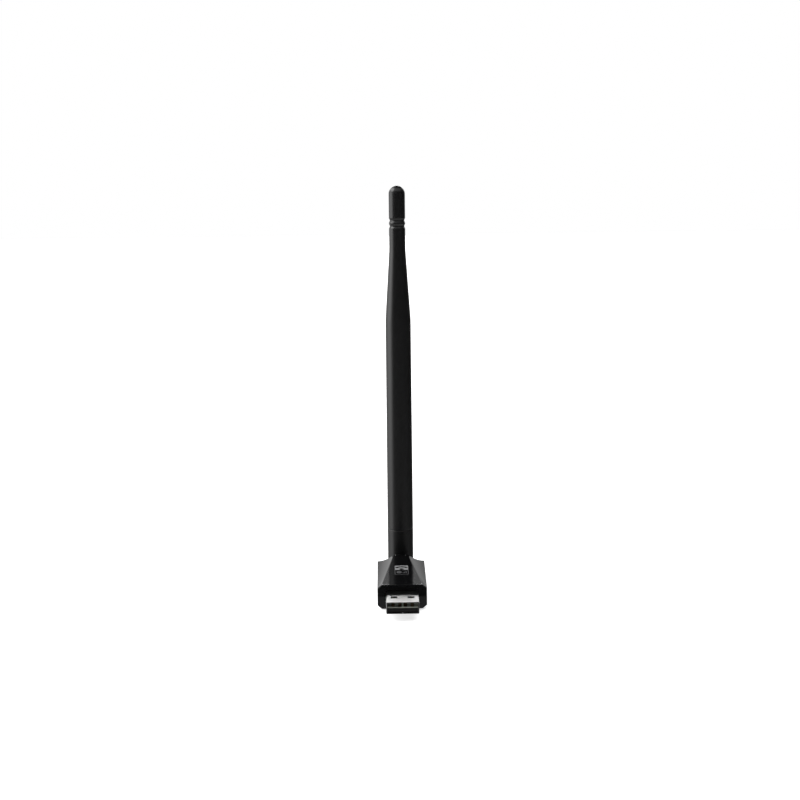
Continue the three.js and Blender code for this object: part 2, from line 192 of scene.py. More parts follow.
def skin(name, rings, closed_ends=True):
    """Joins rings of equal length into one surface, with flat ends or the last ring joined to the first."""
    count = len(rings[0])
    points = [p for ring in rings for p in ring]
    faces = []
    spans = len(rings) - 1 if closed_ends else len(rings)
    for i in range(spans):
        here, there = i * count, ((i + 1) % len(rings)) * count
        for k in range(count):
            n = (k + 1) % count
            faces.append((here + k, here + n, there + n, there + k))
    if closed_ends:
        faces.append(tuple(range(count)))
        faces.append(tuple(reversed(range(len(points) - count, len(points)))))
    return make(name, points, faces)


def lathe(name, profile, segments=96):
    """Turns (radius, height) points about Z. The profile runs from axis to axis, or is a closed loop."""
    profile = [tuple(p) for p in profile]
    solid = profile[0][0] < 1e-6
    points, rings = [], []
    for radius, height in profile:
        if radius < 1e-6:
            rings.append([len(points)] * segments)
            points.append((0, 0, height))
            continue
        rings.append(list(range(len(points), len(points) + segments)))
        for k in range(segments):
            angle = 2 * math.pi * (k + 0.5) / segments
            points.append((radius * math.cos(angle), radius * math.sin(angle), height))
    faces = []
    spans = len(rings) - 1 if solid else len(rings)
    for i in range(spans):
        here, there = rings[i], rings[(i + 1) % len(rings)]
        for k in range(segments):
            n = (k + 1) % segments
            corners = [here[k], here[n], there[n], there[k]]
            unique = list(dict.fromkeys(corners))
            if len(unique) > 2:
                faces.append(tuple(unique))
    return make(name, points, faces)


def bezier(start, corner, end, steps):
    """Points of the curve that rounds a corner."""
    return [
        start * (1 - t) ** 2 + corner * 2 * t * (1 - t) + end * t * t for t in spread(0, 1, steps + 1)
    ]


def bend(start, corner, end, steps):
    """The same curve, from plain pairs of numbers."""
    return bezier(Vector(start), Vector(corner), Vector(end), steps)


def rounded(outline, radius, steps=5):
    """The closed outline with each corner rounded; radius is one number or one for each corner."""
    corners = [Vector(p) for p in outline]
    radii = radius if isinstance(radius, (list, tuple)) else [radius] * len(corners)
    result = []
    for i, corner in enumerate(corners):
        before = corners[i - 1] - corner
        after = corners[(i + 1) % len(corners)] - corner
        reach = min(radii[i], before.length / 2, after.length / 2)
        start, end = corner + before.normalized() * reach, corner + after.normalized() * reach
        result += bezier(start, corner, end, steps)
    return result


def rectangle(half_x, half_y, radius=0.0, steps=5):
    corners = [(half_x, -half_y), (half_x, half_y), (-half_x, half_y), (-half_x, -half_y)]
    return rounded(corners, radius, steps) if radius else [Vector(c) for c in corners]


def prism(name, outline, low, high):
    """Extrudes an (x, y) outline from z = low to z = high."""
    return skin(name, [[(p.x, p.y, z) for p in outline] for z in (low, high)])


def prism_x(name, outline, low, high):
    """Extrudes a (y, z) outline along X."""
    return skin(name, [[(x, p.x, p.y) for p in outline] for x in (low, high)])


def prism_y(name, outline, low, high):
    """Extrudes an (x, z) outline along Y."""
    return skin(name, [[(p.x, y, p.y) for p in outline] for y in (low, high)])


def polar(radius, angle, centre=(0, 0)):
    return Vector((centre[0] + radius * math.cos(angle), centre[1] + radius * math.sin(angle)))


def circle(radius, count=96, centre=(0, 0)):
    return [polar(radius, 2 * math.pi * (k + 0.5) / count, centre) for k in range(count)]


def arc(radius, start, end, steps, centre=(0, 0)):
    """Points of an arc between two angles in degrees."""
    return [polar(radius, math.radians(a), centre) for a in spread(start, end, steps)]


def band(radius, width, start, end, centre, steps=16):
    """A thick arc between two angles in degrees."""
    inner = arc(radius - width / 2, start, end, steps, centre)
    return arc(radius + width / 2, start, end, steps, centre) + list(reversed(inner))


def moved(outline, x, y):
    return [p + Vector((x, y)) for p in outline]


def tube(name, path, radius, sides=20):
    """A round cord along a list of points, with rounded ends."""
    path = [Vector(p) for p in path]
    tangents = [
        (path[min(i + 1, len(path) - 1)] - path[max(i - 1, 0)]).normalized() for i in range(len(path))
    ]
    across = tangents[0].orthogonal().normalized()
    cap_out, cap_radius = 0.1 * radius, 0.75 * radius
    rings = []

    def ring(centre, side, tangent, size):
        up = tangent.cross(side)
        angles = [2 * math.pi * k / sides for k in range(sides)]
        return [centre + (side * math.cos(a) + up * math.sin(a)) * size for a in angles]

    for i, (point, tangent) in enumerate(zip(path, tangents)):
        across = (across - tangent * across.dot(tangent)).normalized()
        if i == 0:
            rings.append(ring(point - tangent * cap_out, across, tangent, cap_radius))
        rings.append(ring(point, across, tangent, radius))
        if i == len(path) - 1:
            rings.append(ring(point + tangent * cap_out, across, tangent, cap_radius))
    return skin(name, rings)


# ---- materials ----
class Nodes:
    """A material's node tree, with a short way to add and link nodes."""

    def __init__(self, name):
        self.material = bpy.data.materials.new(name)
        self.material.use_nodes = True
        self.tree = self.material.node_tree
        self.shader = self.tree.nodes["Principled BSDF"]
        place = self.add("ShaderNodeTexCoord")
        scale = self.add("ShaderNodeMapping")
        scale.inputs["Scale"].default_value = (1 / MM,) * 3
        self.link(place.outputs["Object"], scale.inputs["Vector"])
        self.millimetres = scale.outputs["Vector"]
        self.facing = place.outputs["Normal"]

    def add(self, kind, **settings):
        node = self.tree.nodes.new(kind)
        for key, value in settings.items():
            setattr(node, key, value)
        return node

    def link(self, source, target):
        self.tree.links.new(source, target)

    def stretched(self, x, y, z):
        scale = self.add("ShaderNodeMapping")
        scale.inputs["Scale"].default_value = (x, y, z)
        self.link(self.millimetres, scale.inputs["Vector"])
        return scale.outputs["Vector"]

    def noise(self, scale, detail=3.0, where=None, rough=0.55):
        node = self.add("ShaderNodeTexNoise")
        node.inputs["Scale"].default_value = scale
        node.inputs["Detail"].default_value = detail
        node.inputs["Roughness"].default_value = rough
        self.link(where or self.millimetres, node.inputs["Vector"])
        return node.outputs["Fac"]

    def remap(self, value, low, high, from_low=0.3, from_high=0.7):
        node = self.add("ShaderNodeMapRange")
        node.inputs["From Min"].default_value = from_low
        node.inputs["From Max"].default_value = from_high
        node.inputs["To Min"].default_value = low
        node.inputs["To Max"].default_value = high
        self.link(value, node.inputs["Value"])
        return node.outputs["Result"]

    def mix(self, factor, first, second):
        node = self.add("ShaderNodeMix", data_type="RGBA")
        self.link(factor, node.inputs["Factor"])
        node.inputs["A"].default_value = (*first, 1)
        node.inputs["B"].default_value = (*second, 1)
        return node.outputs["Result"]

    def blend(self, factor, first, second):
        """Mixes a colour from another node with a fixed one."""
        node = self.add("ShaderNodeMix", data_type="RGBA")
        self.link(factor, node.inputs["Factor"])
        self.link(first, node.inputs["A"])
        node.inputs["B"].default_value = (*second, 1)
        return node.outputs["Result"]

    def math(self, operation, *values):
        node = self.add("ShaderNodeMath", operation=operation)
        for value, socket in zip(values, node.inputs):
            self.link(value, socket)
        return node.outputs["Value"]

    def bump(self, height, distance, strength):
        node = self.add("ShaderNodeBump")
        node.inputs["Distance"].default_value = distance * MM
        node.inputs["Strength"].default_value = strength
        self.link(height, node.inputs["Height"])
        self.link(node.outputs["Normal"], self.shader.inputs["Normal"])

    def colour(self, source):
        self.link(source, self.shader.inputs["Base Color"])

    def roughness(self, source):
        self.link(source, self.shader.inputs["Roughness"])

    def set(self, **values):
        for key, value in values.items():
            self.shader.inputs[key.replace("_", " ")].default_value = value


def gloss_black():
    """Polished ABS: near-mirror, with faint handling haze and a very shallow moulding ripple."""
    n = Nodes("gloss_black")
    n.colour(n.mix(n.remap(n.noise(3.5, 5), 0, 1), (0.0022, 0.0022, 0.0025), (0.0034, 0.0034, 0.0037)))
    n.roughness(n.remap(n.noise(0.22, 4), 0.03, 0.06))
    n.bump(n.noise(0.3, 2), 0.0012, 0.3)
    n.set(IOR=1.5)
    return n.material


def satin_black(name="satin_black", rough=(0.3, 0.38), tone=1.0):
    """Spark-eroded mould finish: a fine even grain that spreads the highlight."""
    n = Nodes(name)
    grain = n.noise(9, 4, rough=0.7)
    cloud = n.noise(0.35, 3)
    dark = [c * tone for c in (0.0024, 0.0024, 0.0026)]
    light = [c * tone for c in (0.0036, 0.0036, 0.0039)]
    n.colour(n.mix(n.remap(cloud, 0, 1), dark, light))
    n.roughness(n.remap(grain, *rough))
    n.bump(grain, 0.01, 0.3)
    n.set(IOR=1.75)
    return n.material


def pressed_steel(name, tint, rough, brushed, cut_edge):
    """Pressed sheet: rolling lines along Y, which spread its reflections sideways if it is brushed, a few
    fine scratches, and a cut edge round the front whose tone is cut_edge times the sheet's."""
    n = Nodes(name)
    lines = n.noise(5, 4, n.stretched(6, 0.25, 6))
    marks = n.noise(2.2, 6, n.stretched(1, 5, 1), 0.75)
    low = tuple(0.95 * c for c in tint)
    axes = n.add("ShaderNodeSeparateXYZ")
    n.link(n.facing, axes.inputs["Vector"])
    faces_front = n.remap(axes.outputs["Y"], 1, 0, -0.95, -0.7)
    sheet = n.mix(n.remap(lines, 0, 1), low, tint)
    n.colour(n.blend(faces_front, sheet, tuple(cut_edge * c for c in tint)))
    n.roughness(n.remap(marks, *rough))
    n.bump(lines, 0.002, 0.2)
    around = n.add("ShaderNodeTangent", direction_type="RADIAL", axis="Y")
    n.link(around.outputs["Tangent"], n.shader.inputs["Tangent"])
    n.set(Metallic=1.0, Anisotropic=brushed)
    return n.material


def moulded_tongue():
    """Satin black, with painted light: paler ribs between the contacts, most of all in the middle, are a
    painted reflection of the shell above them, and a pale lip along the front top edge is a painted
    highlight."""
    n = Nodes("tongue_black")
    grain = n.noise(9, 4, rough=0.7)
    axes = n.add("ShaderNodeSeparateXYZ")
    n.link(n.millimetres, axes.inputs["Vector"])
    x, y, z = axes.outputs
    height, mouth = AXIS.z / MM + TONGUE_TOP, shell_low.y
    # painted light: the ribs' paleness stands in for the shell's reflection on them, strongest in the
    # middle, and the lip's paleness is a painted highlight
    side_rib_light, lip_highlight = 0.42, 0.6
    on_top = n.remap(z, 0, 1, height - 0.06, height - 0.02)
    ribs = n.math("MULTIPLY", on_top, n.remap(n.math("ABSOLUTE", x), 1, side_rib_light, 0.5, 1.0))
    near = n.remap(y, lip_highlight, 0, mouth + 0.85, mouth + 1.0)
    high = n.remap(z, 0, 1, height - 0.24, height - 0.16)
    pale = n.math("MAXIMUM", n.math("MULTIPLY", near, high), ribs)
    # the pale colour mixed in here is painted reflection and highlight, not the tongue's own colour
    n.colour(n.mix(pale, (0.0025, 0.0025, 0.0027), (0.5, 0.52, 0.45)))
    n.roughness(n.remap(grain, 0.34, 0.44))
    n.bump(grain, 0.01, 0.3)
    return n.material


def yellow_metal(name, tint, rough):
    """Gold, brass or copper, with faint drawing lines and a slightly uneven tone."""
    n = Nodes(name)
    lines = n.noise(4, 4, n.stretched(5, 0.5, 0.5))
    blush = n.noise(0.9, 3)
    low = tuple(0.82 * c for c in tint)
    n.colour(n.mix(n.remap(blush, 0, 1), low, tint))
    n.roughness(n.remap(lines, rough * 0.8, rough * 1.3))
    n.bump(lines, 0.003, 0.3)
    n.set(Metallic=1.0)
    return n.material


def board_green():
    """Solder mask over copper: a faint web of tracks under a satin coat."""
    n = Nodes("board_green")
    tracks = n.add("ShaderNodeTexBrick")
    tracks.inputs["Scale"].default_value = 0.55
    tracks.inputs["Mortar Size"].default_value = 0.06
    tracks.inputs["Color1"].default_value = (0.012, 0.085, 0.04, 1)
    tracks.inputs["Color2"].default_value = (0.014, 0.1, 0.048, 1)
    tracks.inputs["Mortar"].default_value = (0.03, 0.17, 0.085, 1)
    n.link(n.millimetres, tracks.inputs["Vector"])
    n.colour(tracks.outputs["Color"])
    n.roughness(n.remap(n.noise(6, 4), 0.25, 0.4))
    n.bump(tracks.outputs["Fac"], 0.03, 0.4)
    return n.material


def speckled(name, first, second, scale, rough, depth=0.01):
    """Moulded epoxy, fired ceramic, cable jacket, foam or print: two tones mixed by a fine grain."""
    n = Nodes(name)
    grain = n.noise(scale, 5, rough=0.7)
    n.colour(n.mix(n.remap(grain, 0, 1), first, second))
    n.roughness(n.remap(grain, rough * 0.85, rough * 1.1))
    n.bump(grain, depth, 0.5)
    return n.material


GLOSS = gloss_black()
SATIN = satin_black()
SATIN_BASE = satin_black("satin_black_base", (0.28, 0.36), 0.8)
TONGUE = moulded_tongue()
PLATED = pressed_steel("plated_steel", (0.9, 0.895, 0.885), (0.3, 0.36), brushed=1.0, cut_edge=0.2)
SPRING = pressed_steel("spring_steel", (0.5, 0.5, 0.51), (0.3, 0.42), brushed=0.0, cut_edge=1.0)
# the contacts' gold is kept dark as painted shade, for their place deep inside the plug's mouth
GOLD = yellow_metal("gold_flash", (0.2, 0.145, 0.08), 0.4)
BRASS = yellow_metal("drawn_brass", (0.78, 0.58, 0.27), 0.34)
COPPER = yellow_metal("bare_copper", (0.8, 0.42, 0.26), 0.36)
BOARD = board_green()
CHIP = speckled("moulded_epoxy", (0.012, 0.012, 0.013), (0.03, 0.03, 0.032), 8, 0.6)
CERAMIC = speckled("fired_ceramic", (0.36, 0.27, 0.18), (0.5, 0.4, 0.29), 5, 0.5)
FERRITE = speckled("ferrite", (0.04, 0.04, 0.043), (0.08, 0.08, 0.085), 9, 0.7)
JACKET = speckled("cable_jacket", (0.03, 0.03, 0.032), (0.05, 0.05, 0.054), 3, 0.42, 0.004)
FOAM = speckled("closed_cell_foam", (0.62, 0.6, 0.56), (0.85, 0.84, 0.8), 4, 0.9, 0.12)
PRINT_LIGHT = speckled("light_print", (0.22, 0.22, 0.225), (0.27, 0.27, 0.275), 6, 0.12, 0.002)
PRINT_GREY = speckled("grey_print", (0.07, 0.07, 0.072), (0.09, 0.09, 0.092), 6, 0.12, 0.002)
PRINT_DARK = speckled("dark_print", (0.002, 0.002, 0.0022), (0.003, 0.003, 0.0033), 6, 0.08, 0.002)


def place(piece, material, body, slot, origin=None, replaces=(), angle=35):
    """Moves a finished mesh from millimetres into the frame and ties it to its body."""
    origin = AXIS if origin is None else origin
    piece.data.transform(Matrix.Translation(origin) @ Matrix.Scale(MM, 4))
    piece.data.materials.clear()
    piece.data.materials.append(material)
    for polygon in piece.data.polygons:
        polygon.material_index = 0
        polygon.use_smooth = True
    piece.data.set_sharp_from_angle(angle=math.radians(angle))
    weights = piece.modifiers.new("weights", "WEIGHTED_NORMAL")
    weights.keep_sharp = True
    weights.weight = 80
    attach(piece, body)
    if replaces:
        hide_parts(*replaces)
    return piece


# ---- housing ----
def housing_ring(t, inset, soft, steps=5):
    """Cross-section at a fraction t of the length, as (x, z) points: the shoulders are straight chamfers in
    front and hollow out towards the back, and both of their edges are rounded."""
    side = lerp(HALF_FRONT, HALF_BACK, t) - inset
    mitre = inset * math.tan(math.radians(22.5))
    ridge = lerp(TOP_HALF_FRONT, TOP_HALF_BACK, t) - mitre
    drop = lerp(DROP_FRONT, DROP_BACK, t) - mitre

    def shoulder(s):
        fall = lerp(s, 1 - (1 - s) ** 2, t)
        return Vector((lerp(ridge, side, s), inset + drop * fall))

    reach = soft / (shoulder(1) - shoulder(0)).length
    quarter = bezier(shoulder(1) + Vector((0, soft)), shoulder(1), shoulder(1 - reach), steps)
    quarter += [shoulder(s) for s in spread(1 - reach, reach, 9)[1:-1]]
    quarter += bezier(shoulder(reach), shoulder(0), Vector((ridge - soft, inset)), steps)
    upper = quarter + [Vector((-p.x, p.y)) for p in reversed(quarter)]
    lower = reversed(upper)
    return [Vector((p.x, ABOVE - p.y)) for p in upper] + [Vector((p.x, p.y - BELOW)) for p in lower]


def housing_loft(name, start, end, inset, soft, end_round):
    """The housing's outside, or its cavity, between two places along its length, with rounded ends."""
    angles = spread(0, math.pi / 2, 5) if end_round else [0]
    turn_in = [(end_round * (1 - math.cos(a)), end_round * (1 - math.sin(a))) for a in angles]
    stations = [(start + depth, extra) for depth, extra in turn_in]
    stations += [(y, 0) for y in spread(start + end_round, end - end_round, 26)[1:-1]]
    stations += [(end - depth, extra) for depth, extra in reversed(turn_in)]
    rings = []
    for y, extra in stations:
        rings.append([(p.x, y, p.y) for p in housing_ring(y / LENGTH, inset + extra, soft)])
    return skin(name, rings)


def lean_front(piece):
    """The front face leans back a little above and below the parting line, as a moulded wall does."""
    for vertex in piece.data.vertices:
        if vertex.co.y < FRONT_WALL / 2:
            vertex.co.y += abs(vertex.co.z) * DRAFT


def soften_parting(piece, level):
    """A small break along the outer edge of the parting face."""
    size, near = 0.09, 0.02
    work = bmesh.new()
    work.from_mesh(piece.data)

    def on_rim(v):
        outer = abs(v.co.x) > HALF_FRONT - 0.05 or v.co.y < near or v.co.y > LENGTH - near
        return outer and abs(v.co.z - level) < 1e-3

    rim = [e for e in work.edges if all(on_rim(v) for v in e.verts)]
    shape = {"segments": 2, "profile": 0.5, "affect": "EDGES", "clamp_overlap": True}
    bmesh.ops.bevel(work, geom=rim, offset=size, **shape)
    work.to_mesh(piece.data)
    work.free()


def board_ledges(z0, z1):
    """Two strips that hold the board's long edges, from above or from below."""
    inner, outer, start, end = 6.3, 8.3, 9.8, 29.0
    return [
        slab("ledge", inner, outer, start, end, z0, z1),
        slab("ledge", -outer, -inner, start, end, z0, z1),
    ]


def build_housing():
    door_play, shaft_hole, ledge_top, ledge_bottom = 0.09, 2.28, (0.1, 1.4), (-2.4, -1.05)
    body = housing_loft("body", 0, LENGTH, 0, EDGE_SOFT, END_ROUND)
    cavity = housing_loft("cavity", FRONT_WALL, LENGTH - WALL, WALL, 0.3, 0)
    doorway = rectangle(PLUG_HALF_X + door_play, PLUG_HALF_Z + door_play, 0.6)
    door = prism_y("door", doorway, -1, FRONT_WALL + 1)
    hole = prism_y("hole", circle(shaft_hole), LENGTH - WALL - 1, LENGTH + 1)
    cut(body, cavity, door, hole)
    low_half = copy_of(body, "bottom_cover_skin")
    big = 30
    half_gap = PARTING_GAP / 2
    combine(body, slab("above", -big, big, -big, 2 * big, half_gap, big), "INTERSECT")
    combine(low_half, slab("below", -big, big, -big, 2 * big, -big, -half_gap), "INTERSECT")
    soften_parting(body, half_gap)
    soften_parting(low_half, -half_gap)
    lean_front(body)
    lean_front(low_half)
    join(body, *board_ledges(*ledge_top))
    join(low_half, *board_ledges(*ledge_bottom))
    around = rectangle(BADGE_HALF_X + BADGE_PLAY, BADGE_HALF_Y + BADGE_PLAY, BADGE_CORNER + 0.05, 8)
    cut(body, shift(prism("recess", around, ABOVE - 0.3, ABOVE + 1), y=BADGE_Y))
    body.name = "top_cover_skin"
    place(body, GLOSS, "housing", "housing_black", replaces=["top_cover"])
    place(low_half, GLOSS, "housing", "housing_black", replaces=["bottom_cover"])


def print_on_badge(name, outline, material, thick=PRINT_THICK, holes=()):
    base = ABOVE - BADGE_SUNK
    layer = prism(name, outline, base - 0.05, base + thick)
    cut(layer, *[prism("hole", hole, base - 1, base + 1) for hole in holes])
    place(shift(layer, y=BADGE_Y), material, "housing", "badge_grey")


def build_badge():
    """A dark tile with a thin frame, a light upper field that leaves a signal sign dark, and below it a
    round-ended key mark and three rising bars."""
    outline = rectangle(BADGE_HALF_X, BADGE_HALF_Y, BADGE_CORNER, 8)
    tile = soften(prism("badge_tile", outline, ABOVE - 0.28, ABOVE - BADGE_SUNK), 0.03, 2, 60)
    place(shift(tile, y=BADGE_Y), PRINT_DARK, "housing", "badge_grey", replaces=["badge"])
    line, margin = 0.28, 0.08
    half_x, half_y = BADGE_HALF_X - margin, BADGE_HALF_Y - margin
    outer = rectangle(half_x, half_y, BADGE_CORNER, 8)
    inner = rectangle(half_x - line, half_y - line, BADGE_CORNER - line * 0.6, 8)
    print_on_badge("badge_frame", outer, PRINT_GREY, 0.012, [inner])

    field_low, field_high = 0.1, half_y - line * 0.5
    middle, half_field = (field_low + field_high) / 2, (field_high - field_low) / 2
    field = moved(rectangle(half_x - line * 0.5, half_field, 0.5, 6), 0, middle)
    foot = (0, field_low + 0.9)
    arc_radius, arc_width, dot_radius = 2.6, 1.1, 0.85
    sign = [band(arc_radius, arc_width, 35, 145, foot), circle(dot_radius, 32, foot)]
    print_on_badge("badge_upper_field", field, PRINT_LIGHT, holes=sign)

    key_x, key_y = -0.95, -2.55
    print_on_badge("badge_key", moved(rectangle(0.95, 1.3, 0.9, 8), key_x, key_y), PRINT_GREY)
    bars_x, bars_low, pitch, half_bar = 0.55, -3.8, 0.6, 0.17
    for i, height in enumerate((1.0, 1.7, 2.4)):
        bar = moved(rectangle(half_bar, height / 2, 0.08, 3), bars_x + pitch * i, bars_low + height / 2)
        print_on_badge(f"badge_bar_{i + 1}", bar, PRINT_GREY)


# ---- plug ----
def plug_tube(tail):
    """The rolled sheet: its corners are round and its front edge curls in a little."""
    corner, least_corner = 0.48, 0.2
    tip_curl = [(0.0, 0.08), (0.05, 0.03), (0.15, 0.005), (0.4, 0.0)]

    def loop(y, inset):
        radius = max(corner - inset, least_corner)
        return [(p.x, y, p.y) for p in rectangle(PLUG_HALF_X - inset, PLUG_HALF_Z - inset, radius, 7)]

    outside = [loop(PLUG_TIP + depth, inset) for depth, inset in tip_curl]
    outside += [loop(y, 0) for y in spread(PLUG_TIP + 1.2, tail, 12)]
    inside = [loop(y, SHEET) for y in reversed(spread(PLUG_TIP + 0.6, tail, 12))]
    inside += [loop(PLUG_TIP + depth, inset + SHEET) for depth, inset in reversed(tip_curl[:-1])]
    return skin("plug_shell_skin", outside + inside, closed_ends=False)


def dovetail(y, deep, low, high):
    """The outline of the tab that locks the seam: it widens away from the middle of the plug."""
    return [Vector(p) for p in [(0, y - low), (deep, y - high), (deep, y + high), (0, y + low)]]


def build_plug_shell():
    tail, foot, reach = 5.6, shell_high.y - cover_low.y, 3 * PLUG_HALF_Z
    piece = plug_tube(tail)
    window_x, window_y = 3.1, -6.9
    for x in (-window_x, window_x):
        window = prism("window", rectangle(1.25, 1.0, 0.16, 4), -reach, reach)
        cut(piece, shift(window, x=x, y=window_y))
    seam, tab_y, through = 0.07, -3.2, -PLUG_HALF_Z + SHEET + 0.2
    slit = slab("slit", -seam / 2, seam / 2, PLUG_TIP - 1, tail + 1, -reach, through)
    outline = dovetail(tab_y, 1.1, 0.5, 0.85)
    keyhole = prism("keyhole", outline, -reach, through)
    inner = [Vector((p.x - seam if p.x else -1, p.y + (seam if p.y < tab_y else -seam))) for p in outline]
    cut(keyhole, prism("tab", inner, -2 * reach, 0))
    cut(piece, slit, keyhole)
    for side in (-1, 1):
        x0, x1 = sorted((side * (PLUG_HALF_X - SHEET), side * PLUG_HALF_X))
        join(piece, slab("leg", x0, x1, tail - 0.4, foot, -1.5, 0.6))
    soften(piece, 0.05, 2, 50)
    place(piece, PLATED, "housing", "plug_metal", replaces=["plug_shell"])


def build_tongue():
    half_x, low = PLUG_HALF_X - SHEET - 0.12, -PLUG_HALF_Z + SHEET + 0.05
    lip, chamfer, root = PLUG_TIP + 0.5, 0.25, 1.0
    profile = [(lip, low + chamfer), (lip + chamfer, low), (root, low)]
    profile += [(root, TONGUE_TOP), (lip + chamfer, TONGUE_TOP), (lip, -0.1)]
    piece = prism_x("plug_insulator_skin", [Vector(p) for p in profile], -half_x, half_x)
    join(piece, slab("block", -half_x, half_x, 0.3, 5.6, low, -low))
    half_slot, slot_low, slot_high = CONTACT_HALF + 0.12, -0.06, 0.3
    for x in CONTACT_XS:
        cut(piece, slab("slot", x - half_slot, x + half_slot, 0.0, 7.0, slot_low, slot_high))
        cut(piece, slab("channel", x - half_slot, x + half_slot, PLUG_TIP + 1.1, 1.0, slot_low, slot_high))
    soften(piece, 0.06, 2, 40)
    place(piece, TONGUE, "housing", "plug_black", replaces=["plug_insulator"])


def build_contacts():
    """Each leaf lies in its slot with its upper side a hair proud of the tongue."""
    thick, under, arch = 0.16, 0.03, 0.015
    upper = under + thick
    for i, x in enumerate(CONTACT_XS):
        name = f"contact_{i + 1}"
        low, high = box_mm(name)
        tip, tail = low.y - cover_low.y, high.y - cover_low.y
        profile = [(tip, under + 0.02), (tip + 0.25, upper), (tip + 2.4, upper + arch), (0.0, upper)]
        profile += [(tail, upper), (tail, under), (0.0, under), (tip + 0.2, under)]
        leaf = rounded(profile, 0.06, 3)
        piece = prism_x(f"{name}_skin", list(reversed(leaf)), x - CONTACT_HALF, x + CONTACT_HALF)
        soften(piece, 0.03, 2, 50)
        place(piece, GOLD, "housing", "contact_gold", replaces=[name])


# ---- knuckle ----
def ring_of(name, inner, outer, y0, y1, radius, steps=3, segments=72):
    """A ring about Y with softened edges; radius is one number or one for each corner."""
    corners = [(inner, y0), (outer, y0), (outer, y1), (inner, y1)]
    return turn(lathe(name, rounded(corners, radius, steps), segments), -90, "X")


def build_shaft(bore):
    """The hollow shaft with its groove for the clip, and the collar behind the housing's back wall."""
    shaft, groove, collar = 2.2, 1.7, 4.0
    front, clip_low, clip_high, collar_low, back = 31.4, 32.2, 33.1, 35.2, 36.5
    corners = [(bore, front, 0.1), (shaft, front, 0.25), (shaft, clip_low, 0.06), (groove, clip_low, 0.06)]
    corners += [(groove, clip_high, 0.06), (shaft, clip_high, 0.06), (shaft, collar_low, 0.1)]
    corners += [(collar, collar_low, 0.22), (collar, back, 0.3), (bore, back, 0.1)]
    profile = rounded([c[:2] for c in corners], [c[2] for c in corners], 4)
    return turn(lathe("swivel_knuckle_skin", profile, 96), -90, "X")


def build_ear(bore):
    radius, half, root = 3.4, 2.0, 36.2
    outline = [Vector((root, -radius))] + arc(radius, -90, 90, 41, (PIVOT_Y, 0)) + [Vector((root, radius))]
    ear = soften(prism_x("ear", outline, -half, half), 0.22, 3, 40)
    return cut(ear, prism_y("bore", circle(bore, 48), 30, PIVOT_Y - 2.4))


def build_knuckle():
    bore, pin_hole = 0.9, 1.34
    piece = join(build_shaft(bore), build_ear(bore))
    cut(piece, prism_x("pin_hole", circle(pin_hole, 64, (PIVOT_Y, 0)), -3, 3))
    wrap = band(3.4, 2.4, -16, 196, (PIVOT_Y, 0), 40)
    above_neck = [p for p in wrap if p.x > 38.2]
    cut(piece, prism_x("cable_way", above_neck, -0.6, 0.6))
    place(piece, SATIN, "knuckle", "antenna_black", replaces=["swivel_knuckle"])

    clip = ring_of("retaining_clip_skin", 1.78, 2.9, 32.3, 32.95, 0.08)
    cut(clip, slab("opening", -0.8, 0.8, 30, 35, 0, 5))
    place(soften(clip, 0.05, 2, 50), SPRING, "knuckle", "spring_steel", replaces=["retaining_clip"])
    washer = ring_of("friction_washer_skin", 2.3, 3.0, 33.4, 33.7, 0.06)
    place(washer, SPRING, "knuckle", "spring_steel", replaces=["friction_washer"])


# ---- antenna, about the fold axis ----
def on_antenna(piece, material, slot, node, angle=35):
    place(piece, material, "antenna", slot, PIVOT, [node], angle)


def build_base():
    """A turned post whose lower end is rounded only about the fold axis, cut by the knuckle's slot."""
    top, spigot, spigot_top, spigot_soft, rim = RADOME_BOTTOM - 0.06, 3.9, 20.0, 0.3, (0.3, 0.25)
    edge = bend((STOUT, top - rim[0]), (STOUT, top), (STOUT - rim[1], top), 5)
    profile = [(0, -STOUT), (STOUT, -STOUT)] + edge + [(spigot, top), (spigot, spigot_top - spigot_soft)]
    profile += [(spigot - spigot_soft, spigot_top), (0, spigot_top)]
    piece = lathe("antenna_base_skin", profile, 128)
    side, above = STOUT + 1, 25
    foot = arc(STOUT, 180, 360, 65)
    foot += [Vector(p) for p in [(side, 0.01), (side, above), (-side, above), (-side, 0.01)]]
    combine(piece, prism_x("foot", foot, -6, 6), "INTERSECT")
    clear, slot_half, slot_top, pin_hole, cable_bore = 7, 2.2, 3.75, 1.28, 0.7
    slot = [(-clear, -clear), (clear, -clear), (clear, slot_top), (-clear, slot_top)]
    cut(piece, prism_x("slot", [Vector(p) for p in slot], -slot_half, slot_half))
    cut(piece, prism_x("pin_hole", circle(pin_hole, 64), -clear, clear))
    cut(piece, prism("cable_bore", circle(cable_bore, 32), slot_top - 1, spigot_top + 1))
    soften(piece, 0.16, 3, 38)
    on_antenna(piece, SATIN_BASE, "antenna_black", "antenna_base")


def build_pin():
    """Each end has a rounded rim and a shallow dish."""
    half, radius, rim, dish, dish_deep = 4.7, 1.25, 0.18, 0.45, 0.25
    end = [(0, half - dish_deep), (dish, half - dish_deep), (0.6, half)]
    end += [(radius - rim, half), (radius, half - rim)]
    profile = [(r, -h) for r, h in end] + [(r, h) for r, h in reversed(end)]
    piece = turn(lathe("hinge_pin_skin", profile, 64), 90, "Y")
    on_antenna(piece, SATIN, "antenna_black", "hinge_pin")


